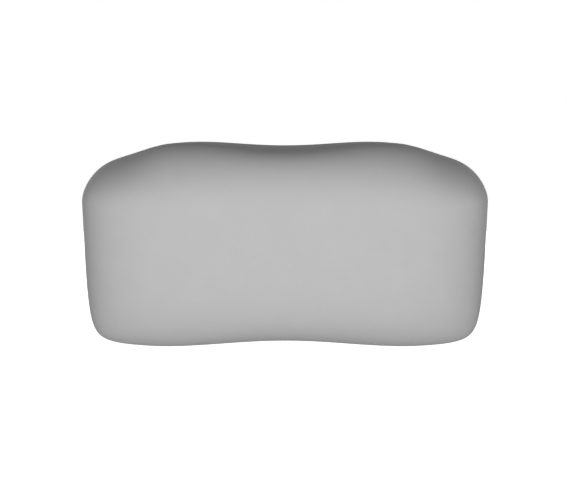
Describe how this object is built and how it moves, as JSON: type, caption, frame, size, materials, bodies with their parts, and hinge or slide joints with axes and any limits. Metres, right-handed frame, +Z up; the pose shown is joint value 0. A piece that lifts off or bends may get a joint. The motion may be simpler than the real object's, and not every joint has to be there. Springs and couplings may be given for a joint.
{
  "type": "bath pillow",
  "caption": "Moulded waisted headrest for a bathtub, with a rounded front, a stiffened flat back and suction cups on push-in studs.",
  "frame": {"origin": "middle of the four suction cups, in the plane of their sealing rims, which is the tub wall", "axes": "+X to the right of a person facing the pillow, along its width; +Y into the tub wall; +Z up"},
  "size_m": [0.31, 0.0965, 0.1594],
  "materials": {
    "skin": "matte",
    "foam": "matte",
    "plate": "satin",
    "socket": "satin",
    "stud": "satin",
    "cup": "gloss"
  },
  "bodies": {
    "pillow": {"outer_skin": "skin", "foam_core": "foam", "insert_plate": "plate", "cup_socket_upper_left": "socket", "cup_socket_upper_right": "socket", "cup_socket_lower_left": "socket", "cup_socket_lower_right": "socket"},
    "stud_upper_left": {"push_stud_upper_left": "stud"},
    "cup_upper_left": {"suction_cup_upper_left": "cup"},
    "stud_upper_right": {"push_stud_upper_right": "stud"},
    "cup_upper_right": {"suction_cup_upper_right": "cup"},
    "stud_lower_left": {"push_stud_lower_left": "stud"},
    "cup_lower_left": {"suction_cup_lower_left": "cup"},
    "stud_lower_right": {"push_stud_lower_right": "stud"},
    "cup_lower_right": {"suction_cup_lower_right": "cup"}
  },
  "joints": [
    {"name": "stud_pull_upper_left", "type": "slide", "parent": "pillow", "child": "stud_upper_left", "axis": [0, 1, 0], "range_m": [0, 0.014]},
    {"name": "cup_turn_upper_left", "type": "hinge", "parent": "stud_upper_left", "child": "cup_upper_left", "pos_m": [-0.103, 0, 0.035], "axis": [0, 1, 0], "continuous": true},
    {"name": "stud_pull_upper_right", "type": "slide", "parent": "pillow", "child": "stud_upper_right", "axis": [0, 1, 0], "range_m": [0, 0.014]},
    {"name": "cup_turn_upper_right", "type": "hinge", "parent": "stud_upper_right", "child": "cup_upper_right", "pos_m": [0.103, 0, 0.035], "axis": [0, 1, 0], "continuous": true},
    {"name": "stud_pull_lower_left", "type": "slide", "parent": "pillow", "child": "stud_lower_left", "axis": [0, 1, 0], "range_m": [0, 0.014]},
    {"name": "cup_turn_lower_left", "type": "hinge", "parent": "stud_lower_left", "child": "cup_lower_left", "pos_m": [-0.103, 0, -0.035], "axis": [0, 1, 0], "continuous": true},
    {"name": "stud_pull_lower_right", "type": "slide", "parent": "pillow", "child": "stud_lower_right", "axis": [0, 1, 0], "range_m": [0, 0.014]},
    {"name": "cup_turn_lower_right", "type": "hinge", "parent": "stud_lower_right", "child": "cup_lower_right", "pos_m": [0.103, 0, -0.035], "axis": [0, 1, 0], "continuous": true}
  ]
}
